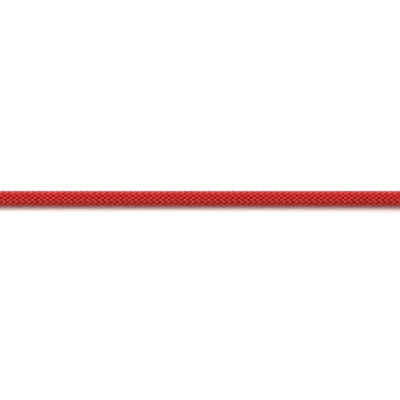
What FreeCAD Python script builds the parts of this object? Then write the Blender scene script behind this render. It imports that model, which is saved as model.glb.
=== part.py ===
"""A short 10 mm dock line of double-braided polyester, put away as an oblong coil.

The line's free end is whipped and heat-sealed. From there it lies straight along X and runs into
the coil, whose last turn climbs on top and ends in a small eye splice. Two hook-and-loop straps
hold the coil, one round each long side. Millimetres, +Z up, and the line lies on the plane Z = 0.
The origin is the middle of the footprint, at the height of that plane.
"""
import FreeCAD, Part
import math
import os

V = FreeCAD.Vector
os.makedirs("parts", exist_ok=True)

# The line: a braided cover round a braided core.
LINE_D = 10.0
CORE_D = 6.2
LINE_R = LINE_D / 2
CORE_R = CORE_D / 2

# The layout along X.
TOTAL_LENGTH = 524.0
COIL_LENGTH = 222.0
INNER_FOLD = 20.0                  # fold radii of the two nested turns, at the line's centre
OUTER_FOLD = INNER_FOLD + LINE_D
LAYERS = 4
END_X = -TOTAL_LENGTH / 2
COIL_MIDDLE = TOTAL_LENGTH / 2 - COIL_LENGTH / 2
FOLD_REACH = OUTER_FOLD + LINE_R
NEAR_FOLD = COIL_MIDDLE - COIL_LENGTH / 2 + FOLD_REACH
FAR_FOLD = COIL_MIDDLE + COIL_LENGTH / 2 - FOLD_REACH
COIL_TOP = LAYERS * LINE_D
LINE_Y = OUTER_FOLD
STUB_X = NEAR_FOLD - 3 * LINE_D    # the straight line becomes part of the coil here
EDGE_ROUND = 4.0

# The free end.
SEAL_LENGTH = 4.0
SEAL_R = 4.8
SEAL_ROUND = 1.5
WHIP_START = 5.5
WHIP_LENGTH = 9.0
WHIP_DEPTH = 0.6

# The last half turn, on top of the coil, and the splice that follows it.
TOP_FOLD = 22.0
TOP_Z = COIL_TOP + LINE_R
CLIMB_LENGTH = 62.0                # how far past the far fold the line has reached the top
RAMP_LENGTH = 15.0
THROAT_LENGTH = 65.0
THROAT_R = 7.2
CROTCH_LAP = 7.0                   # how far both legs of the eye reach into the throat
LEG_STUB = 30.0
RETURN_STUB = 24.0
THROAT_WHIP_LENGTH = 8.0
THROAT_WHIP_GAP = 3.0
THROAT_WHIP_THICKNESS = 0.6

# The eye's route past the throat, round and back, in plan.
CROTCH_X = NEAR_FOLD + THROAT_LENGTH - CROTCH_LAP
EYE_ROUTE = [
    (192, 22), (213, 27.5), (231, 29.5), (246, 22), (254.5, 8), (254, -8),
    (245.5, -22), (231, -29), (212, -25), (192, -14.5), (172, -2.5),
]

# The straps: a band round a long side's turns and the line on top of them.
STRAP_X = NEAR_FOLD + 31.0
STRAP_WIDTH = 20.0
STRAP_THICKNESS = 1.5
SQUEEZED_R = 4.5                   # the line's radius where a strap grips it
SQUEEZED_HALF_PITCH = 4.3
SIDE_Y = (INNER_FOLD + OUTER_FOLD) / 2


def export(shape, node):
    """Writes one node, after checking that it is sound."""
    if not shape.isValid() or not shape.Solids or shape.Volume <= 0:
        raise ValueError(f"{node} is not a sound solid")
    shape.exportStep(f"parts/{node}.step")
    print(f"{node}: {shape.Volume:.0f} mm3, {len(shape.Solids)} solid")


def rod(radius, start, end):
    return Part.makeCylinder(radius, (end - start).Length, start, end - start)


def tube(outer, inner, start, end):
    return rod(outer, start, end).cut(rod(inner, start, end))


# The straight line and its free end.

def on_line(x):
    return V(x, LINE_Y, LINE_R)


def whipping_span():
    return END_X + WHIP_START, END_X + WHIP_START + WHIP_LENGTH


def line_cover():
    """The cover, drawn in under the whipping."""
    start, end = whipping_span()
    cover = tube(LINE_R, CORE_R, on_line(END_X + SEAL_LENGTH), on_line(STUB_X))
    return cover.cut(tube(LINE_R + 1, LINE_R - WHIP_DEPTH, on_line(start), on_line(end)))


def line_core():
    return rod(CORE_R, on_line(END_X + SEAL_LENGTH), on_line(STUB_X))


def end_whipping():
    start, end = whipping_span()
    return tube(LINE_R, LINE_R - WHIP_DEPTH, on_line(start), on_line(end))


def sealed_tip():
    """Cover and core melted together into a round-edged button."""
    tip = rod(SEAL_R, on_line(END_X), on_line(END_X + SEAL_LENGTH))
    rim = [e for e in tip.Edges if abs(e.BoundBox.XMax - END_X) < 1e-6]
    return tip.makeFillet(SEAL_ROUND, rim)


# The coil: a racetrack ring of two nested turns in each of four layers.

def rounded_box_face(y0, y1, z0, z1, bottom_round, top_round):
    """An upright rectangle at X = 0 whose corners may be round."""
    corners = [(y0, z0, bottom_round), (y1, z0, bottom_round), (y1, z1, top_round), (y0, z1, top_round)]
    edges = []
    points = []
    for i, (y, z, r) in enumerate(corners):
        before, after = corners[i - 1], corners[(i + 1) % 4]
        towards = [V(0, b[0] - y, b[1] - z).normalize() for b in (before, after)]
        corner = V(0, y, z)
        if r > 0:
            a, b = corner + towards[0] * r, corner + towards[1] * r
            middle = corner + (towards[0] + towards[1]) * r * (1 - math.sqrt(0.5))
            points.append((a, middle, b))
        else:
            points.append((corner, None, corner))
    for i, (a, middle, b) in enumerate(points):
        if middle is not None:
            edges.append(Part.Arc(a, middle, b).toShape())
        following = points[(i + 1) % 4][0]
        if (following - b).Length > 1e-6:
            edges.append(Part.makeLine(b, following))
    return Part.Face(Part.Wire(Part.__sortEdges__(edges)))


def long_side(face, start, end, mirrored):
    """The face carried along X, on the entry side (+Y) or on the far side (-Y)."""
    placed = face.mirror(V(0, 0, 0), V(0, 1, 0)) if mirrored else face.copy()
    placed.translate(V(start, 0, 0))
    return placed.extrude(V(end - start, 0, 0))


def fold(face, x, outward):
    """The face turned half round an upright axis at X; outward is -1 for the near end."""
    placed = face.copy()
    placed.translate(V(x, 0, 0))
    return placed.revolve(V(x, 0, 0), V(0, 0, -outward), 180)


def top_half_turn():
    """The last half turn climbs on top along the far side, and rounds the near end."""
    inner = TOP_FOLD - LINE_R
    outer = TOP_FOLD + LINE_R
    face = rounded_box_face(inner, outer, COIL_TOP, COIL_TOP + LINE_D, 0, EDGE_ROUND)
    top_x = FAR_FOLD - CLIMB_LENGTH
    y = -TOP_FOLD - LINE_R
    side = [V(top_x, y, COIL_TOP), V(top_x + RAMP_LENGTH, y, COIL_TOP), V(top_x, y, COIL_TOP + LINE_D - 1)]
    ramp = Part.Face(Part.makePolygon(side + side[:1])).extrude(V(0, LINE_D, 0))
    return [long_side(face, NEAR_FOLD, top_x, True), fold(face, NEAR_FOLD, -1), ramp]


def line_coil(straps):
    """The ring, the last half turn on top of it, and the line's first stretch beside it."""
    face = rounded_box_face(INNER_FOLD - LINE_R, OUTER_FOLD + LINE_R, 0, COIL_TOP, EDGE_ROUND, EDGE_ROUND)
    entry = rounded_box_face(LINE_Y - LINE_R, LINE_Y + LINE_R, 0, LINE_D, EDGE_ROUND, EDGE_ROUND)
    ring = long_side(face, NEAR_FOLD, FAR_FOLD, False)
    pieces = [long_side(face, NEAR_FOLD, FAR_FOLD, True), fold(face, NEAR_FOLD, -1), fold(face, FAR_FOLD, 1)]
    ring = ring.fuse(pieces + top_half_turn() + [long_side(entry, STUB_X, NEAR_FOLD, False)])
    for grip in straps:
        ring = ring.cut(grip)
    return ring


# The eye splice.

def rounded_path(points):
    """Straight runs joined by tangent arcs, each as large as its two runs allow."""
    edges = []
    radii = []
    at = points[0]
    for before, corner, after in zip(points, points[1:], points[2:]):
        a, b = before - corner, after - corner
        half_turn = (math.pi - a.getAngle(b)) / 2
        back = 0.45 * min(a.Length, b.Length)
        radius = back / math.tan(half_turn)
        start, end = corner + V(a).normalize() * back, corner + V(b).normalize() * back
        bisector = (V(a).normalize() + V(b).normalize()).normalize()
        middle = corner + bisector * (radius / math.cos(half_turn) - radius)
        edges.append(Part.LineSegment(at, start).toShape())
        edges.append(Part.Arc(start, middle, end).toShape())
        radii.append(radius)
        at = end
    edges.append(Part.LineSegment(at, points[-1]).toShape())
    return Part.Wire(edges), radii


def sweep(path, radius, name):
    """A round rod along the path, with its volume held against its section times its length."""
    first = path.Edges[0]
    start = first.FirstParameter
    circle = Part.Wire(Part.makeCircle(radius, first.valueAt(start), first.tangentAt(start)))
    shape = path.makePipeShell([circle], True, True)
    share = shape.Volume / (math.pi * radius**2 * path.Length)
    print(f"{name}: path {path.Length:.1f} mm, volume over section times length {share:.4f}")
    return shape


def eye_points():
    """The eye's route, from the end of one leg's stub to the end of the other's."""
    route = [V(x, y, TOP_Z) for x, y in EYE_ROUTE]
    crotch = V(CROTCH_X, TOP_FOLD, TOP_Z)
    back = (route[-1] - crotch).normalize() * RETURN_STUB
    return [crotch + V(LEG_STUB, 0, 0)] + route + [crotch + back]


def throat_axis(share):
    """A point on the throat's axis, which rises so that its underside stays on the coil."""
    return V(NEAR_FOLD + THROAT_LENGTH * share, TOP_FOLD, TOP_Z + (THROAT_R - LINE_R) * share)


def throat_radius(x):
    return LINE_R + (THROAT_R - LINE_R) * (x - NEAR_FOLD) / THROAT_LENGTH


def throat_whipping():
    """Twine round the thick end of the throat, just before the crotch."""
    end = CROTCH_X - THROAT_WHIP_GAP
    start = end - THROAT_WHIP_LENGTH
    axis = (throat_axis(1) - throat_axis(0)).normalize()
    base = throat_axis((start - NEAR_FOLD) / THROAT_LENGTH)
    radii = [throat_radius(x) for x in (start, end)]
    sunk_radii = [r - THROAT_WHIP_THICKNESS for r in radii]
    cone = Part.makeCone(*radii, THROAT_WHIP_LENGTH, base, axis)
    sunk = Part.makeCone(*sunk_radii, THROAT_WHIP_LENGTH, base, axis)
    return cone.cut(sunk)


def splice_throat(whipping):
    """The tapered throat with the first stretch of both legs, drawn in under its whipping."""
    axis = throat_axis(1) - throat_axis(0)
    points = eye_points()
    crotch = V(CROTCH_X, TOP_FOLD, TOP_Z)
    throat = Part.makeCone(LINE_R, THROAT_R, axis.Length, throat_axis(0), axis)
    legs = [rod(LINE_R, crotch, points[0]), rod(LINE_R, crotch, points[-1])]
    corner = V(NEAR_FOLD - LINE_R, TOP_FOLD - LINE_D, TOP_Z - LINE_D)
    flush = Part.makeBox(LINE_R, 2 * LINE_D, 2 * LINE_D, corner)
    return throat.fuse(legs).cut(whipping).cut(flush)


# The straps.

def outline(circles, grow):
    """The tight closed band round circles (y, z, r) given anticlockwise, grown by a thickness."""
    tangents = []
    for (y0, z0, r0), (y1, z1, r1) in zip(circles, circles[1:] + circles[:1]):
        apart, along = math.hypot(y1 - y0, z1 - z0), math.atan2(z1 - z0, y1 - y0)
        normal = along - math.acos((r0 - r1) / apart)
        tangents.append(normal)
    edges = []
    for i, (y, z, r) in enumerate(circles):
        a0, a1 = tangents[i - 1], tangents[i]
        while a1 < a0:
            a1 += 2 * math.pi
        reach = r + grow
        spots = [V(0, y + reach * math.cos(a), z + reach * math.sin(a)) for a in (a0, (a0 + a1) / 2, a1)]
        following = circles[(i + 1) % len(circles)]
        reach = following[2] + grow
        next_spot = V(0, following[0] + reach * math.cos(a1), following[1] + reach * math.sin(a1))
        edges += [Part.Arc(*spots).toShape(), Part.makeLine(spots[2], next_spot)]
    return Part.Face(Part.Wire(Part.__sortEdges__(edges)))


def gripped(top_y, top_radius):
    """The circles that a strap goes round: three corner turns and the line on top of the fourth."""
    low, high = STRAP_THICKNESS + SQUEEZED_R, COIL_TOP - LINE_R
    inner, outer = SIDE_Y - SQUEEZED_HALF_PITCH, SIDE_Y + SQUEEZED_HALF_PITCH
    r = SQUEEZED_R
    return [(inner, low, r), (outer, low, r), (outer, high, r), (top_y, COIL_TOP + top_radius, top_radius)]


def at_strap(face, mirrored):
    """The face carried over the strap's width, on the entry side or on the far side."""
    shape = face.extrude(V(STRAP_WIDTH, 0, 0))
    shape.translate(V(STRAP_X - STRAP_WIDTH / 2, 0, 0))
    return shape.mirror(V(0, 0, 0), V(0, 1, 0)) if mirrored else shape


def strap(circles, mirrored):
    """A band round one long side."""
    return at_strap(outline(circles, STRAP_THICKNESS).cut(outline(circles, 0)), mirrored)


def grip(circles, mirrored):
    """What a strap presses out of the coil: everything outside its inner outline."""
    corner = V(STRAP_X - STRAP_WIDTH / 2, 0, -LINE_D)
    block = Part.makeBox(STRAP_WIDTH, 2 * FOLD_REACH, COIL_TOP + 2 * LINE_D, corner)
    if mirrored:
        block = block.mirror(V(0, 0, 0), V(0, 1, 0))
    return block.cut(at_strap(outline(circles, 0), mirrored))


entry_side = gripped(TOP_FOLD, throat_radius(STRAP_X + STRAP_WIDTH / 2 + 1))
far_side = gripped(TOP_FOLD, LINE_R)
eye_path, eye_radii = rounded_path(eye_points())
print("eye radii", [round(r, 1) for r in eye_radii])
eye_rod = sweep(eye_path, LINE_R, "eye")
eye_bore = sweep(eye_path, CORE_R, "eye core")
throat_band = throat_whipping()

export(line_cover(), "line_cover")
export(line_core(), "line_core")
export(end_whipping(), "end_whipping")
export(sealed_tip(), "sealed_tip")
export(line_coil([grip(entry_side, False), grip(far_side, True)]), "line_coil")
export(splice_throat(throat_band), "splice_throat")
export(throat_band, "throat_whipping")
export(eye_rod.cut(eye_bore), "eye_cover")
export(eye_bore, "eye_core")
export(strap(entry_side, False), "entry_side_strap")
export(strap(far_side, True), "far_side_strap")
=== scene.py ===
"""A short red dock line: straight in view, with its coil, eye splice and straps past the view's edge.

All lengths are in metres, in the part's own frame. The line lies on the floor at Z = 0.
"""
import math
import random

import bpy
import numpy as np
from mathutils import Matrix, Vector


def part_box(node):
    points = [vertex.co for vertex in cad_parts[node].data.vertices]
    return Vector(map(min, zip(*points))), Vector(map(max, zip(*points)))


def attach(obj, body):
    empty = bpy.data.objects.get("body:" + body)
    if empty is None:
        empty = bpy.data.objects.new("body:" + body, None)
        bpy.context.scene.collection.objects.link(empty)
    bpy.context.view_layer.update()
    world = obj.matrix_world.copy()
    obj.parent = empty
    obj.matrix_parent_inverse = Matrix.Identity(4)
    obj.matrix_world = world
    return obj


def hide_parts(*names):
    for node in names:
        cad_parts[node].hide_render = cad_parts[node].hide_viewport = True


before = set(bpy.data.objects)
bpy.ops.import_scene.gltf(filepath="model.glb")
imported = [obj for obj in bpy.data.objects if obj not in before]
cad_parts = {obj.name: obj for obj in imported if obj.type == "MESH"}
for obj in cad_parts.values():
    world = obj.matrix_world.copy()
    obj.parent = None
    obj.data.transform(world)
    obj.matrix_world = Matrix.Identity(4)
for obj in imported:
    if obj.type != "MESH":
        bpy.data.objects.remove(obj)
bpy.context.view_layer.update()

# The line.
LINE_D = 0.010
LINE_R = LINE_D / 2
CARRIERS_EACH_WAY = 10
REPEAT = 0.003911                  # the braid's repeat along the line
LAY = CARRIERS_EACH_WAY * REPEAT   # length in which a strand goes once round the line
CROSSINGS = 2 * CARRIERS_EACH_WAY  # crossings that a strand makes in one lay
CORE_SHARE = 0.62                  # the core's radius, and the cover's inside, as shares of the line's
LINING_SHARE = 0.70

# The straight stretch: along X at this Y, from the sealed tip to the coil.
TIP_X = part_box("sealed_tip")[0].x
SEAL_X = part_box("sealed_tip")[1].x
INNER_FOLD = 2 * LINE_D            # the radii of the coil's folds, at the line's centre
OUTER_FOLD = 3 * LINE_D
LINE_Y = OUTER_FOLD
VIEW_WIDTH = 0.2575                # what the camera sees of it
VIEW_MIDDLE = TIP_X + 0.152

# The coil: two long sides in X between a near and a far fold, in layers, with the last turn on top.
COIL_LOW, COIL_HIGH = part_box("line_coil")
FOLD_REACH = OUTER_FOLD + LINE_R
NEAR_FOLD = COIL_LOW.x + FOLD_REACH
FAR_FOLD = COIL_HIGH.x - FOLD_REACH
LAYERS = 4
COIL_TOP = LAYERS * LINE_D
TOP_Z = COIL_TOP + LINE_R
TOP_FOLD = 0.022
SIDE_Y = (INNER_FOLD + OUTER_FOLD) / 2

# The straps, and how they squeeze the turns.
STRAP_LOW, STRAP_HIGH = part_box("entry_side_strap")
STRAP_X = (STRAP_LOW.x + STRAP_HIGH.x) / 2
STRAP_HALF = (STRAP_HIGH.x - STRAP_LOW.x) / 2
STRAP_THICKNESS = 0.0015
SQUEEZED_R = 0.0045
SQUEEZED_HALF_PITCH = 0.0043
FULL_GRIP_SHARE = 0.6              # share of the strap's half width that grips in full
GRIP_FADE = 0.017                  # length in which the grip fades to nothing past that
PAST_STRAP = 0.001                 # how far past the strap the throat's size is taken to fit it

# The splice and the whippings.
THROAT_LENGTH = 0.065
THROAT_R = 0.0072
THROAT_SKIN = 0.0002               # the braid stays this far inside the throat's solid
THROAT_LEAD = 0.006                # length of plain line before the throat swells
THROAT_SHORT = 0.001               # it is full this far before the crotch, and over this far past it
THROAT_PAST = 0.013
CROTCH_BACK = 0.007                # how far inside the throat's end the tail parts from the line
CROTCH_X = NEAR_FOLD + THROAT_LENGTH - CROTCH_BACK
LAST_STRETCH = 0.42                # the throat and the eye lie within this much of the route's end
TAIL_LENGTHS = [0, 0.014, 0.034]   # the buried tail's taper: lengths from its end, and its radii there
TAIL_RADII = [0.0026, 0.0036, LINE_R]
WHIP_DEPTH = 0.0007                # how far a whipping draws the line in
WHIP_EDGE = 0.0006                 # the length in which it does
TWINE_R = 0.00040

# Turns of the coil: (fold radius, layer). A layer is an outer and an inner turn, on the layer below.
SLOTS = [
    (OUTER_FOLD, 0), (INNER_FOLD, 0), (INNER_FOLD, 1), (OUTER_FOLD, 1),
    (OUTER_FOLD, 2), (INNER_FOLD, 2), (INNER_FOLD, 3), (OUTER_FOLD, 3), (OUTER_FOLD, 4),
]
FOLD_STEPS = 8
SIDE_STEPS = 9
CHANGE_SHARE = 0.34                # share of the far side in which a turn moves to its next slot
CHANGE_LAG = (1 - CHANGE_SHARE) / (len(SLOTS) - 2)
NEAR_SHIFT = [0.0, 0.0022, 0.0006, 0.0030, 0.0012]  # how far each layer's folds stop short
FAR_SHIFT = [0.0012, 0.0, 0.0028, 0.0008, 0.0]


def smooth(t):
    """0 to 1 as t goes from 0 to 1, level at both ends."""
    t = min(1.0, max(0.0, t))
    return t * t * (3 - 2 * t)


def grip_at(x):
    """1 under the middle of a strap, falling smoothly to 0 a little over a line's width past its edge."""
    clear = abs(x - STRAP_X) - STRAP_HALF * FULL_GRIP_SHARE
    return 1 - smooth(clear / GRIP_FADE)


def squeezed(x, y, z):
    """A point of a long side's turn, drawn in where a strap grips the turns."""
    grip = grip_at(x)
    sign = 1 if y > 0 else -1
    drawn_in = 1 - grip * (1 - SQUEEZED_HALF_PITCH / LINE_R)
    y = sign * (SIDE_Y + (abs(y) - SIDE_Y) * drawn_in)
    lifted = STRAP_THICKNESS + SQUEEZED_R - LINE_R
    if z < TOP_Z - LINE_R:
        z += grip * lifted * (1 - (z - LINE_R) / (COIL_TOP - LINE_D))
    return (x, y, z)


def slot_at(turn, share):
    """(fold radius, height) of a turn, a share of the way back along the far side."""
    start = (len(SLOTS) - 2 - turn) * CHANGE_LAG
    u = smooth((share - start) / CHANGE_SHARE)
    (r0, layer0), (r1, layer1) = SLOTS[turn], SLOTS[turn + 1]
    radius = r0 + (r1 - r0) * u
    if turn == len(SLOTS) - 2:  # once on top, the last turn draws in to the top fold
        radius += (TOP_FOLD - radius) * smooth((share - CHANGE_SHARE) / CHANGE_SHARE)
    return radius, LINE_R + LINE_D * (layer0 + (layer1 - layer0) * u)


def shift_at(shifts, height):
    """How far a fold at that height stops short."""
    return float(np.interp((height - LINE_R) / LINE_D, range(len(shifts)), shifts))


def fold_points(middle_x, radius, height, start):
    """Half a turn of control points; the spline runs a little inside them, so they stand out."""
    reach = radius / math.cos(math.pi / FOLD_STEPS / 2)
    points = []
    for i in range(FOLD_STEPS):
        angle = start - math.pi * (i + 0.5) / FOLD_STEPS
        points.append((middle_x + reach * math.cos(angle), reach * math.sin(angle), height))
    return points


def coil_route():
    """The coil's turns: along the entry side, round the far fold, back, and round the near fold."""
    points = []
    for turn in range(len(SLOTS)):
        radius, height = slot_at(turn, 0) if turn < len(SLOTS) - 1 else (TOP_FOLD, TOP_Z)
        near = NEAR_FOLD + shift_at(NEAR_SHIFT, height)
        far = FAR_FOLD - shift_at(FAR_SHIFT, height)
        if turn:
            points += fold_points(near, radius, height, -math.pi / 2)
        if turn == len(SLOTS) - 1:
            break
        for i in range(SIDE_STEPS):
            x = near + (far - near) * (i + 0.5) / SIDE_STEPS
            points.append(squeezed(x, radius, height))
        points += fold_points(far, radius, height, math.pi / 2)
        for i in range(SIDE_STEPS):
            share = (i + 0.5) / SIDE_STEPS
            radius, height = slot_at(turn, share)
            points.append(squeezed(far + (near - far) * share, -radius, height))
    return points


# The route before and after the coil: the straight stretch, then the throat, round the eye and back.
START_ROUTE = [(x, LINE_Y, LINE_R) for x in (SEAL_X, -0.150, -0.050, 0.040)]
THROAT_ROUTE = [
    (0.084, 0.022, 0.0452), (0.104, 0.022, 0.0459), (0.122, 0.022, 0.0465), (0.138, 0.022, 0.0470),
]
EYE_ROUTE = [
    (0.152, 0.022, 0.0459), (0.168, 0.022, 0.045), (0.192, 0.022, 0.045), (0.213, 0.0275, 0.045),
    (0.231, 0.0295, 0.045), (0.246, 0.022, 0.045), (0.2545, 0.008, 0.045), (0.254, -0.008, 0.045),
    (0.2455, -0.022, 0.045), (0.231, -0.0275, 0.0455), (0.212, -0.0235, 0.046), (0.192, -0.0135, 0.0455),
    (0.172, -0.0025, 0.045), (0.154, 0.0085, 0.045), (0.141, 0.0165, 0.0455), (0.128, 0.0205, 0.0463),
    (0.114, 0.0220, 0.0463),
]
ROUTE = START_ROUTE + coil_route() + THROAT_ROUTE + EYE_ROUTE


def read_spline(points):
    """The NURBS spline that has the route as its control points, read back as dense points."""
    data = bpy.data.curves.new("route", "CURVE")
    data.dimensions = "3D"
    spline = data.splines.new("NURBS")
    spline.points.add(len(points) - 1)
    for spot, p in zip(spline.points, points):
        spot.co = (*p, 1.0)
    spline.order_u = 3
    spline.use_endpoint_u = True
    spline.resolution_u = 16
    bare = bpy.data.objects.new("route", data)
    mesh = bpy.data.meshes.new_from_object(bare)
    line = np.array([v.co for v in mesh.vertices], float)
    bpy.data.objects.remove(bare)
    bpy.data.curves.remove(data)
    bpy.data.meshes.remove(mesh)
    return line


PATH_STEP = 0.0005


class Path:
    """A line in even steps, with its length and a frame that starts upright and never twists."""

    def __init__(self, line):
        run = np.concatenate([[0], np.cumsum(np.linalg.norm(np.diff(line, axis=0), axis=1))])
        self.length = float(run[-1])
        self.s = np.linspace(0, self.length, int(self.length / PATH_STEP) + 1)
        self.points = np.stack([np.interp(self.s, run, line[:, k]) for k in range(3)], axis=1)
        tangent = np.gradient(self.points, self.s, axis=0)
        tangent /= np.linalg.norm(tangent, axis=1)[:, None]
        normal = np.zeros_like(tangent)
        up = np.array([0.0, 0.0, 1.0])
        for i, t in enumerate(tangent):
            up = up - t * (up @ t)
            up /= np.linalg.norm(up)
            normal[i] = up
        self.normal = normal
        self.side = np.cross(tangent, normal)

    def at(self, s):
        """Points, normals and side directions at lengths s."""
        out = [np.stack([np.interp(s, self.s, a[:, k]) for k in range(3)], axis=1)
               for a in (self.points, self.normal, self.side)]
        for a in out[1:]:
            a /= np.linalg.norm(a, axis=1)[:, None]
        return out


path = Path(read_spline(ROUTE))


def line_radius():
    """The line's radius along the path: whole, drawn in by whipping and straps, and full in the throat."""
    x, y = path.points[:, 0], path.points[:, 1]
    radius = np.full(len(path.s), LINE_R)
    in_coil = (x > NEAR_FOLD - LINE_R) & (np.abs(y) > SIDE_Y - LINE_D)
    grip = np.array([grip_at(v) for v in x])
    radius -= np.where(in_coil, grip, 0) * (LINE_R - SQUEEZED_R)
    whip_low, whip_high = (corner.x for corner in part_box("end_whipping"))
    whipped = np.clip(np.minimum(x - whip_low, whip_high - x) / WHIP_EDGE + 0.5, 0, 1)
    radius -= whipped * WHIP_DEPTH
    s = path.s
    left = path.length - s
    last = left < LAST_STRETCH
    start = s[np.flatnonzero(last & (x > NEAR_FOLD) & (y > 0))[0]]
    crotch = start + (CROTCH_X - NEAR_FOLD)
    throat_lengths = [start, start + THROAT_LEAD, crotch - THROAT_SHORT, crotch + THROAT_PAST]
    throat = np.interp(s, throat_lengths, [LINE_R, LINE_R, THROAT_R - THROAT_SKIN, LINE_R])
    radius = np.where(last & (s >= start) & (s < throat_lengths[-1]), throat, radius)
    return np.minimum(radius, np.interp(left, TAIL_LENGTHS, TAIL_RADII))


RADIUS = line_radius()

# The cross-section of a strand, as (across, outward) from its middle in shares of half its width and of
# its thickness: a narrow crown between flanks.
STRAND_PROFILE = np.array([
    (-1, -0.22), (-0.68, 0.03), (-0.14, 0.50), (0.14, 0.50), (0.68, 0.03), (1, -0.22), (0, -0.42),
])
CROWN_SIDE = 2                     # which side of the cross-section is its crown, and which its flanks
FLANK_SIDES = (1, 3)
STRAND_WIDTH = 0.0022
STRAND_THICKNESS = 0.0014
CROWN_WIDENS = 0.07                # a strand is this much wider and thicker on top, and slimmer beneath
CROWN_THICKENS = 0.05
WEAVE_MIDDLE = 0.731               # the weave's middle radius and swing, as shares of the line's radius
WEAVE_SWING = 0.140
LIFT_SPREAD = 0.004                # how much strands differ in middle radius and in width
WIDTH_SPREAD = 0.03
COARSE_STEP = LAY / CROSSINGS / 2  # two rings of points for each crossing, and eight in view
FINE_STEP = LAY / CROSSINGS / 8
FINE_PAST_VIEW = 0.01              # how far past the view the fine rings go on
BRAID_TURN = math.radians(27.0)    # how far round the line from straight up the pattern starts
BRAID_START = 0.417                # in crossings, where the pattern starts at the seal
CROWN_SINKS = -0.15                # height in the weave, -1 to 1, below which the crown takes the flank's painted shade instead of its painted highlight
FLANK_SINKS = -0.60                # and below which it takes the deeper painted shade of a chink
PAINTED_SHADE_FLANK, PAINTED_SHADE_CHINK = 2, 3    # materials of the braid after its two crown shades: painted shade on flanks, deeper painted shade in chinks
CROWN_SHADES = 2
FUZZ = random.Random(7)
TUBE_SIDES = 12
LINING_EVERY = 4                   # the lining, the core and the declared cord take one in so many
CORE_EVERY = 5                     # of the path's points


def ring_lengths():
    """Where along the line the strands have their rings: finer where the line lies in view."""
    end = VIEW_MIDDLE + VIEW_WIDTH / 2 + FINE_PAST_VIEW - SEAL_X
    fine = np.arange(0, end, FINE_STEP)
    coarse = np.linspace(end, path.length, int((path.length - end) / COARSE_STEP) + 1)
    return np.concatenate([fine, coarse])


def shades_of(over, crown_shade):
    """Which material each side of each ring has: its crown shade with its painted highlight, the flank's
    painted shade, or the deeper painted shade under a crossing.
    """
    shades = np.full((len(over) - 1, len(STRAND_PROFILE)), PAINTED_SHADE_CHINK)
    high = (over[1:] + over[:-1]) / 2
    sunk = np.where(high > FLANK_SINKS, PAINTED_SHADE_FLANK, PAINTED_SHADE_CHINK)
    shades[:, CROWN_SIDE] = np.where(high > CROWN_SINKS, crown_shade, sunk)
    for side in FLANK_SIDES:
        shades[:, side] = np.where(high > CROWN_SINKS, PAINTED_SHADE_FLANK, PAINTED_SHADE_CHINK)
    return shades


def strand(s, number, way):
    """One strand's rings and shades. way is 1 or -1, and it lies over and under by turns."""
    crossing = s / LAY * CROSSINGS + BRAID_START
    column = 2 * number + way * crossing  # whole where strands of the two ways cross
    over = way * np.cos(math.pi * column)
    middle, normal, side = path.at(s)
    angle = 2 * math.pi * column / CROSSINGS + BRAID_TURN
    outward = normal * np.cos(angle)[:, None] + side * np.sin(angle)[:, None]
    size = np.interp(s, path.s, RADIUS) / LINE_R
    lift = FUZZ.uniform(-LIFT_SPREAD, LIFT_SPREAD)
    away = LINE_R * size * (WEAVE_MIDDLE + lift + WEAVE_SWING * over)
    centre = middle + outward * away[:, None]
    along = np.gradient(centre, axis=0)
    along /= np.linalg.norm(along, axis=1)[:, None]
    across = np.cross(along, outward)
    across /= np.linalg.norm(across, axis=1)[:, None]
    outward = np.cross(across, along)
    spread = FUZZ.uniform(1 - WIDTH_SPREAD, 1 + WIDTH_SPREAD)
    half_width = STRAND_WIDTH / 2 * size * (1 + CROWN_WIDENS * over) * spread
    thickness = STRAND_THICKNESS * size * (1 + CROWN_THICKENS * over)
    rings = centre[:, None] + across[:, None] * (half_width[:, None] * STRAND_PROFILE[:, 0])[..., None]
    rings = rings + outward[:, None] * (thickness[:, None] * STRAND_PROFILE[:, 1])[..., None]
    return rings, shades_of(over, FUZZ.randrange(CROWN_SHADES))


def round_tube(s, share):
    """Rings of a smooth tube round the path, a share of the line's radius thick."""
    middle, normal, side = path.at(s)
    angle = np.linspace(0, 2 * math.pi, TUBE_SIDES, endpoint=False)
    radius = np.interp(s, path.s, RADIUS)[:, None, None] * share
    spokes = normal[:, None] * np.cos(angle)[:, None] + side[:, None] * np.sin(angle)[:, None]
    return middle[:, None] + spokes * radius


def lining(s):
    """The cover's inside, which closes the chinks between strands, all in the chinks' painted shade."""
    rings = round_tube(s, LINING_SHARE)
    return rings, np.full((rings.shape[0] - 1, rings.shape[1]), PAINTED_SHADE_CHINK)


def tube_faces(rings, sides, first):
    """Quads between rings of a closed tube whose points start at first, and its two end caps."""
    ring = np.arange(rings - 1)[:, None] * sides + first
    k = np.arange(sides)[None, :]
    following = (k + 1) % sides
    quads = np.stack([ring + k, ring + following, ring + sides + following, ring + sides + k], axis=-1)
    last = first + (rings - 1) * sides
    caps = [list(range(first + sides - 1, first - 1, -1)), list(range(last, last + sides))]
    return quads.reshape(-1, 4), caps


def mesh_object(name, points, quads, polygons=()):
    """A smooth-shaded mesh object from points, an array of quads and some other polygons."""
    mesh = bpy.data.meshes.new(name)
    extra = [i for p in polygons for i in p]
    mesh.vertices.add(len(points))
    mesh.vertices.foreach_set("co", np.asarray(points, np.float32).ravel())
    loops = np.concatenate([quads.ravel(), np.array(extra, int)]).astype(np.int32)
    mesh.loops.add(len(loops))
    mesh.loops.foreach_set("vertex_index", loops)
    sizes = np.array([4] * len(quads) + [len(p) for p in polygons], np.int32)
    mesh.polygons.add(len(sizes))
    mesh.polygons.foreach_set("loop_start", np.concatenate([[0], np.cumsum(sizes)[:-1]]).astype(np.int32))
    mesh.polygons.foreach_set("loop_total", sizes)
    mesh.polygons.foreach_set("use_smooth", np.ones(len(sizes), bool))
    mesh.update(calc_edges=True)
    mesh.validate()
    made = bpy.data.objects.new(name, mesh)
    bpy.context.scene.collection.objects.link(made)
    return made


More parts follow.
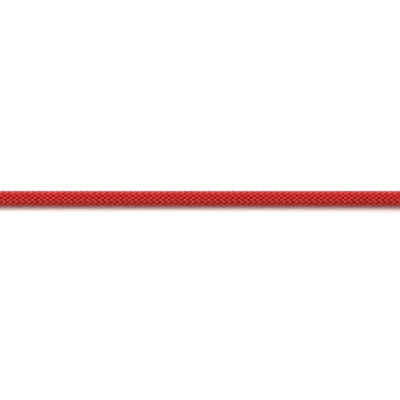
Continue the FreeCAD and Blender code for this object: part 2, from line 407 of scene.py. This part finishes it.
def join_tubes(name, tubes):
    """One mesh object of several closed tubes, each an array of rings of points."""
    points = []
    quads = []
    caps = []
    first = 0
    for rings in tubes:
        sides, ends = tube_faces(len(rings), rings.shape[1], first)
        points.append(rings.reshape(-1, 3))
        quads.append(sides)
        caps += ends
        first += rings.shape[0] * rings.shape[1]
    return mesh_object(name, np.concatenate(points), np.concatenate(quads), caps)


def make_line():
    """The braided line: all the strands of its cover, and the cover's inside, in one mesh."""
    s = ring_lengths()
    strands = [strand(s, number, way) for way in (1, -1) for number in range(CARRIERS_EACH_WAY)]
    strands.append(lining(path.s[::LINING_EVERY]))
    made = join_tubes("braided_line", [rings for rings, _ in strands])
    shades = np.concatenate([shade.ravel() for _, shade in strands])
    # the strands' end caps take the chinks' painted shade too
    caps = np.full(len(made.data.polygons) - len(shades), PAINTED_SHADE_CHINK)
    made.data.polygons.foreach_set("material_index", np.concatenate([shades, caps]).astype(np.int32))
    return made


TWINE_STEPS = 40                   # in one turn of a whipping
TWINE_SIDES = 8
TWINE_PLIES = 3
PLY_RELIEF = 0.10
TWIST = 9                          # radians that the plies turn in one turn of a whipping
TUCK_RATE = 2.5                    # twine radii by which an end rises in a turn, until it is level
END_TURNS = 11
BAND_TURNS = 9                     # the throat's whipping, on a line that rises and thickens a little
BAND_HEIGHTS = (0.0466, 0.0470)
BAND_RADII = (0.0069, 0.0073)


def wound_twine(name, centre_start, centre_end, radius_start, radius_end, turns):
    """Twine wound round an axis, turn against turn, its ends tucked under. The radii are its outside's."""
    count = turns * TWINE_STEPS + 1
    share = np.linspace(0, 1, count)
    start = np.array(centre_start)
    end = np.array(centre_end)
    axis = (end - start) / np.linalg.norm(end - start)
    up = np.array([0.0, 0.0, 1.0])
    up -= axis * (up @ axis)
    up /= np.linalg.norm(up)
    side = np.cross(axis, up)
    angle = share * turns * 2 * math.pi
    tuck = np.clip(np.minimum(share, 1 - share) * turns * TUCK_RATE, 0, 1)
    radius = radius_start + (radius_end - radius_start) * share - TWINE_R * (2 - tuck)
    outward = up * np.cos(angle)[:, None] + side * np.sin(angle)[:, None]
    middle = start + (end - start) * share[:, None] + outward * radius[:, None]
    around = np.linspace(0, 2 * math.pi, TWINE_SIDES, endpoint=False)
    twist = share * turns * TWIST
    lobes = 1 + PLY_RELIEF * np.cos(TWINE_PLIES * (around[None, :] - twist[:, None]))
    rings = middle[:, None] + outward[:, None] * (np.cos(around) * lobes * TWINE_R)[..., None]
    rings = rings + axis * (np.sin(around) * lobes * TWINE_R)[..., None]
    return join_tubes(name, [rings])


# Materials.

# Name, colour, roughness and specular of the braid's faces, in the order that shades_of counts them: two
# crowns painted lighter and pinker as a highlight, differing from each other by a random dye tone, then the
# flanks in painted shade and the deeper painted shade where strands cross.
BRAID_SHADES = [
    ("red_crown_painted_highlight", (0.650, 0.0440, 0.0380), 0.36, 0.45),
    ("red_crown_warm_painted_highlight", (0.675, 0.0490, 0.0425), 0.38, 0.45),
    ("red_flank_painted_shade", (0.500, 0.0042, 0.0035), 0.42, 0.32),
    ("red_chink_painted_shade", (0.225, 0.0010, 0.0008), 0.80, 0.05),
]
ROUGHNESS_SPREAD = 0.03


def node_of(tree, kind, **settings):
    """A new node, each setting given to its input of that name or, without one, to the node itself."""
    made = tree.nodes.new(kind)
    for name, value in settings.items():
        if name in made.inputs:
            made.inputs[name].default_value = value
        else:
            setattr(made, name, value)
    return made


def new_material(name, roughness, specular=0.5, sheen=0.0, colour=(0.8, 0.8, 0.8, 1)):
    """A material, its node tree and its Principled shader."""
    material = bpy.data.materials.new(name)
    material.use_nodes = True
    tree = material.node_tree
    shader = tree.nodes["Principled BSDF"]
    shader.inputs["Base Color"].default_value = colour
    shader.inputs["Roughness"].default_value = roughness
    shader.inputs["Specular IOR Level"].default_value = specular
    shader.inputs["Sheen Weight"].default_value = sheen
    return material, tree, shader


def ramp_of(tree, factor, stops):
    """The colour that a ramp of (place, colour) stops gives for a factor."""
    ramp = tree.nodes.new("ShaderNodeValToRGB")
    while len(ramp.color_ramp.elements) < len(stops):
        ramp.color_ramp.elements.new(0.5)
    for element, (place, colour) in zip(ramp.color_ramp.elements, stops):
        element.position = place
        element.color = (*colour, 1)
    tree.links.new(factor, ramp.inputs["Fac"])
    return ramp.outputs["Color"]


def bumped(tree, shader, height, distance, strength):
    """Gives a shader a bump of that height map."""
    bump = node_of(tree, "ShaderNodeBump", Distance=distance, Strength=strength)
    tree.links.new(height, bump.inputs["Height"])
    tree.links.new(bump.outputs["Normal"], shader.inputs["Normal"])


def noise_of(tree, scale):
    """Noise in the object's own coordinates."""
    noise = node_of(tree, "ShaderNodeTexNoise", Scale=scale, Detail=3.0)
    tree.links.new(tree.nodes.new("ShaderNodeTexCoord").outputs["Object"], noise.inputs["Vector"])
    return noise.outputs["Fac"]


def braid_materials():
    """Red polyester filament: two crown shades, close dye tones both painted lighter and pinker as a
    highlight, flanks in painted shade, and deeper painted shade where strands cross.
    """
    made = []
    for name, colour, roughness, specular in BRAID_SHADES:
        material, tree, shader = new_material(name, roughness, specular, colour=(*colour, 1))
        grain = noise_of(tree, scale=1800.0)
        rough = tree.nodes.new("ShaderNodeMapRange")
        rough.inputs["To Min"].default_value = roughness - ROUGHNESS_SPREAD
        rough.inputs["To Max"].default_value = roughness + ROUGHNESS_SPREAD
        tree.links.new(grain, rough.inputs["Value"])
        tree.links.new(rough.outputs["Result"], shader.inputs["Roughness"])
        bumped(tree, shader, grain, distance=0.0001, strength=0.08)
        made.append(material)
    return made


def twine_material():
    """Waxed off-white twine."""
    material, tree, shader = new_material("waxed_twine", roughness=0.45, specular=0.4)
    stops = [(0.3, (0.52, 0.48, 0.38)), (0.7, (0.80, 0.77, 0.68))]
    colour = ramp_of(tree, noise_of(tree, scale=900.0), stops)
    tree.links.new(colour, shader.inputs["Base Color"])
    bumped(tree, shader, noise_of(tree, scale=4000.0), distance=0.00008, strength=0.6)
    return material


def melt_material():
    """Polyester melted and set: dark, hard and glossy, scorched in patches."""
    material, tree, shader = new_material("melted_polyester", roughness=0.22, specular=0.55)
    stops = [(0.35, (0.030, 0.004, 0.003)), (0.65, (0.26, 0.014, 0.010))]
    colour = ramp_of(tree, noise_of(tree, scale=420.0), stops)
    tree.links.new(colour, shader.inputs["Base Color"])
    bumped(tree, shader, noise_of(tree, scale=800.0), distance=0.0003, strength=0.6)
    return material


def strap_material():
    """Black hook-and-loop webbing."""
    material, tree, shader = new_material("black_webbing", roughness=0.82, specular=0.25, sheen=0.25)
    stops = [(0.35, (0.010, 0.010, 0.012)), (0.7, (0.040, 0.041, 0.046))]
    colour = ramp_of(tree, noise_of(tree, scale=1500.0), stops)
    tree.links.new(colour, shader.inputs["Base Color"])
    bumped(tree, shader, noise_of(tree, scale=5000.0), distance=0.0002, strength=0.8)
    return material


def core_material():
    """Undyed braided polyester, out of sight inside the cover."""
    material, tree, shader = new_material("white_core", roughness=0.6, specular=0.3)
    wave = node_of(tree, "ShaderNodeTexWave", Scale=260.0, Distortion=1.0)
    tree.links.new(tree.nodes.new("ShaderNodeTexCoord").outputs["Object"], wave.inputs["Vector"])
    stops = [(0.0, (0.55, 0.53, 0.48)), (1.0, (0.82, 0.81, 0.77))]
    colour = ramp_of(tree, wave.outputs["Fac"], stops)
    tree.links.new(colour, shader.inputs["Base Color"])
    bumped(tree, shader, wave.outputs["Fac"], distance=0.0004, strength=0.6)
    return material


def dress(piece, materials, slot, *nodes):
    """Gives a piece its materials, hides the solids it stands for, and sets it on the one body."""
    for material in materials:
        piece.data.materials.append(material)
    if nodes:
        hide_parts(*nodes)
    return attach(piece, "root")


# The free end.

# The sealed end's half outline, as (distance from the tip, radius).
TIP_OUTLINE = [
    (0.0003, 0.0008), (0.0001, 0.0020), (0.0002, 0.0032), (0.0007, 0.0041), (0.0016, 0.0046),
    (0.0027, 0.00475), (0.0038, 0.0046), (0.0047, 0.0043), (0.0050, 0.0036),
]
TIP_SIDES = 48
TIP_MOST_R = 0.00495               # what its lumps are cut back to, to stay off the floor
TIP_LUMPS = [(3, 0.5, 0.030), (5, -0.9, 0.022), (11, 1.0, 0.012)]  # (lobes, turn a ring, share)
TIP_RIPPLE = 0.00012


def melted_tip():
    """The sealed end: a lumpy button, lathed round the line and pushed about."""
    around = np.linspace(0, 2 * math.pi, TIP_SIDES, endpoint=False)
    rings = []
    for k, (x, radius) in enumerate(TIP_OUTLINE):
        lumps = 1
        for lobes, turn, share in TIP_LUMPS:
            lumps = lumps + share * np.sin(lobes * around + turn * k)
        r = np.minimum(radius * lumps, TIP_MOST_R)
        ripple = TIP_RIPPLE * np.sin(4 * around + 1.3 * k)
        ring = [TIP_X + x + ripple, LINE_Y + r * np.cos(around), LINE_R + r * np.sin(around)]
        rings.append(np.stack(ring, axis=1))
    return join_tubes("melted_tip", [np.array(rings)])


# The straps.

STRAP_LAP = 0.030
LAP_RISE = 0.006                   # the length in which the lap climbs onto the strap's start
LAP_SHARE = 0.055                  # how far round from the top, as a share of the loop, the strap starts
STRAP_STEP = 0.0006
STRAP_POINTS = 27                  # across the webbing, on each face
WIDTH_SHARE = 0.985                # how much of its solid's width and thickness the webbing fills
DEPTH_SHARE = 0.94
EDGE_THINNING = 0.9                # how much thinner it is at its very edge
WEB_RIB = 0.0016                   # the ribs' and the picks' spacing, and how far they stand out
WEB_PICK = 0.0011
RIB_HEIGHT = 0.00006
PICK_HEIGHT = 0.00004


def hull_outline(circles, step):
    """Points (across, up) round the tight band about circles (y, z, r), and their outward directions."""
    angles = []
    for (y0, z0, r0), (y1, z1, r1) in zip(circles, circles[1:] + circles[:1]):
        apart = math.hypot(y1 - y0, z1 - z0)
        along = math.atan2(z1 - z0, y1 - y0)
        angles.append(along - math.acos((r0 - r1) / apart))
    spots = []
    outward = []
    for i, (y, z, r) in enumerate(circles):
        a0 = angles[i - 1]
        a1 = angles[i]
        a1 += 2 * math.pi * math.ceil((a0 - a1) / (2 * math.pi))
        following = circles[(i + 1) % len(circles)]
        count = max(3, int((a1 - a0) * (r + STRAP_THICKNESS) / step))
        for a in np.linspace(a0, a1, count):
            spots.append((y + r * math.cos(a), z + r * math.sin(a)))
            outward.append((math.cos(a), math.sin(a)))
        start = spots[-1]
        end = (following[0] + following[2] * math.cos(a1), following[1] + following[2] * math.sin(a1))
        count = int(math.dist(start, end) / step)
        for k in range(1, count):
            spots.append(tuple(p + (q - p) * k / count for p, q in zip(start, end)))
            outward.append((math.cos(a1), math.sin(a1)))
    return np.array(spots), np.array(outward)


def strap(name, top_radius, mirrored):
    """A hook-and-loop strap round one side's turns and the line on top, lapped over itself."""
    low = STRAP_THICKNESS + SQUEEZED_R
    high = COIL_TOP - LINE_R
    inner = SIDE_Y - SQUEEZED_HALF_PITCH
    outer = SIDE_Y + SQUEEZED_HALF_PITCH
    r = SQUEEZED_R
    top = (TOP_FOLD, COIL_TOP + top_radius, top_radius)
    spots, outward = hull_outline([(outer, high, r), top, (inner, low, r), (outer, low, r)], STRAP_STEP)
    run = np.concatenate([[0], np.cumsum(np.linalg.norm(np.diff(spots, axis=0), axis=1))])
    round_once = run[-1] + math.dist(spots[-1], spots[0])
    loop = np.concatenate([run, [round_once]])
    spots = np.vstack([spots, spots[:1]])
    outward = np.vstack([outward, outward[:1]])
    s = np.arange(0, round_once + STRAP_LAP, STRAP_STEP)
    on_loop = (s + run[-1] * LAP_SHARE) % round_once
    y, z, oy, oz = (np.interp(on_loop, loop, a[:, k]) for a in (spots, outward) for k in (0, 1))
    lapped = np.clip((s - round_once + LAP_RISE) / LAP_RISE, 0, 1)
    away = STRAP_THICKNESS * (0.5 + lapped * lapped * (3 - 2 * lapped))
    across = np.concatenate([np.linspace(-1, 1, STRAP_POINTS), np.linspace(1, -1, STRAP_POINTS)])
    face = np.concatenate([np.ones(STRAP_POINTS), -np.ones(STRAP_POINTS)])
    edge = np.sqrt(1 - np.abs(across) ** 10) * EDGE_THINNING + (1 - EDGE_THINNING)
    rib_turn = across * STRAP_HALF / WEB_RIB * 2 * math.pi
    ribs = RIB_HEIGHT * np.sin(rib_turn)
    picks = PICK_HEIGHT * np.sin(s / WEB_PICK * 2 * math.pi)[:, None] * np.cos(rib_turn)
    relief = (ribs + picks) * (face > 0)
    height = away[:, None] + face * (STRAP_THICKNESS / 2 * edge) * DEPTH_SHARE + relief
    sign = -1 if mirrored else 1
    x = np.broadcast_to(STRAP_X + across * STRAP_HALF * WIDTH_SHARE, height.shape)
    y = sign * (y[:, None] + oy[:, None] * height)
    z = z[:, None] + oz[:, None] * height
    return join_tubes(name, [np.stack([x, y, z], axis=-1)])


# The scene.

FLOOR_HALF = 6.0
CAMERA_ELEVATION = math.radians(60)
CAMERA_AWAY = 1.6
CAMERA_AIM = 0.0012                # how far in front of the line the camera looks
SENSOR = 36.0                      # millimetres, as the lens is
SKY_COLOUR = (1, 0.975, 0.94, 1)
SKY_BASE = 0.33                    # the sky's strength away from its bright part, and what that adds
SKY_TOP = 1.45
SKY_TILT = math.radians(27)        # how far behind the zenith the bright part's middle lies
SKY_SPREAD = 1.9                   # the power by which it falls off from there
KEY_WATTS = 14
KEY_SIZE = 1.15
KEY_TILT = math.radians(10)        # how far behind the zenith the key stands
KEY_AWAY = 1.58
KEY_ASIDE = -0.30


def make_floor():
    """A plain white floor, far larger than the view."""
    mesh = bpy.data.meshes.new("floor")
    corners = [(x * FLOOR_HALF, y * FLOOR_HALF, 0) for x, y in ((-1, -1), (1, -1), (1, 1), (-1, 1))]
    mesh.from_pydata(corners, [], [(0, 1, 2, 3)])
    floor = bpy.data.objects.new("floor", mesh)
    bpy.context.scene.collection.objects.link(floor)
    white = (0.93, 0.93, 0.93, 1)
    material, _, _ = new_material("white_floor", roughness=0.9, specular=0.0, colour=white)
    mesh.materials.append(material)


def make_camera():
    """Looks down at the straight stretch with a long lens, square on to it."""
    data = bpy.data.cameras.new("camera")
    data.sensor_width = SENSOR
    data.lens = SENSOR * CAMERA_AWAY / VIEW_WIDTH
    data.clip_end = 50.0
    camera = bpy.data.objects.new("camera", data)
    away = np.array([0, -math.cos(CAMERA_ELEVATION), math.sin(CAMERA_ELEVATION)]) * CAMERA_AWAY
    camera.location = np.array([VIEW_MIDDLE, LINE_Y - CAMERA_AIM, LINE_R]) + away
    camera.rotation_euler = (math.pi / 2 - CAMERA_ELEVATION, 0, 0)
    bpy.context.scene.collection.objects.link(camera)
    bpy.context.scene.camera = camera


def make_sky():
    """A nearly white sky, brightest a little behind the zenith and dimmer away from there."""
    world = bpy.data.worlds.new("sky")
    world.use_nodes = True
    tree = world.node_tree
    background = tree.nodes["Background"]
    background.inputs["Color"].default_value = SKY_COLOUR
    towards = (0, math.sin(SKY_TILT), math.cos(SKY_TILT))
    facing = node_of(tree, "ShaderNodeVectorMath", operation="DOT_PRODUCT")
    facing.inputs[1].default_value = towards
    tree.links.new(tree.nodes.new("ShaderNodeTexCoord").outputs["Generated"], facing.inputs[0])
    above = node_of(tree, "ShaderNodeMath", operation="MAXIMUM")
    above.inputs[1].default_value = 0
    tree.links.new(facing.outputs["Value"], above.inputs[0])
    spread = node_of(tree, "ShaderNodeMath", operation="POWER")
    spread.inputs[1].default_value = SKY_SPREAD
    tree.links.new(above.outputs[0], spread.inputs[0])
    strength = node_of(tree, "ShaderNodeMath", operation="MULTIPLY_ADD")
    strength.inputs[1].default_value = SKY_TOP
    strength.inputs[2].default_value = SKY_BASE
    tree.links.new(spread.outputs[0], strength.inputs[0])
    tree.links.new(strength.outputs[0], background.inputs["Strength"])
    bpy.context.scene.world = world


def make_key():
    """A large soft key, overhead and a little behind the line, aimed at the view's middle."""
    data = bpy.data.lights.new("key", "AREA")
    data.shape = "DISK"
    data.size = KEY_SIZE
    data.energy = KEY_WATTS
    key = bpy.data.objects.new("key", data)
    behind = KEY_AWAY * math.sin(KEY_TILT)
    key.location = (VIEW_MIDDLE + KEY_ASIDE, behind, KEY_AWAY * math.cos(KEY_TILT))
    x, y, z = np.array([VIEW_MIDDLE, 0.0, 0.0]) - np.array(key.location)
    key.rotation_euler = (math.atan2(math.hypot(x, y), -z), 0, math.atan2(y, x) - math.pi / 2)
    bpy.context.scene.collection.objects.link(key)


RED = braid_materials()
TWINE = [twine_material()]
MELT = [melt_material()]
WEB = [strap_material()]
CORE = [core_material()]

line = dress(make_line(), RED, "braid_cover", "line_cover", "line_coil", "eye_cover", "splice_throat")

core_tube = join_tubes("braided_core", [round_tube(path.s[::CORE_EVERY], CORE_SHARE)])
core = dress(core_tube, CORE, "braid_core", "line_core", "eye_core")

whip_low, whip_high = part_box("end_whipping")
whip_start = (whip_low.x + TWINE_R, LINE_Y, LINE_R)
whip_end = (whip_high.x - TWINE_R, LINE_Y, LINE_R)
twine = wound_twine("end_whipping_twine", whip_start, whip_end, LINE_R, LINE_R, END_TURNS)
end_whipping = dress(twine, TWINE, "whipping_twine", "end_whipping")

band_low, band_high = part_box("throat_whipping")
band_start = (band_low.x + 2 * TWINE_R, TOP_FOLD, BAND_HEIGHTS[0])
band_end = (band_high.x - TWINE_R, TOP_FOLD, BAND_HEIGHTS[1])
twine = wound_twine("throat_whipping_twine", band_start, band_end, *BAND_RADII, BAND_TURNS)
throat_whipping = dress(twine, TWINE, "whipping_twine", "throat_whipping")

tip = dress(melted_tip(), MELT, "melted_end", "sealed_tip")

throat_share = (STRAP_HIGH.x + PAST_STRAP - NEAR_FOLD) / THROAT_LENGTH
webbing = strap("entry_side_webbing", LINE_R + (THROAT_R - LINE_R) * throat_share, False)
entry_strap = dress(webbing, WEB, "strap_webbing", "entry_side_strap")
webbing = strap("far_side_webbing", LINE_R, True)
far_strap = dress(webbing, WEB, "strap_webbing", "far_side_strap")

make_floor()
make_camera()
make_sky()
make_key()
bpy.context.scene.view_settings.view_transform = "Standard"
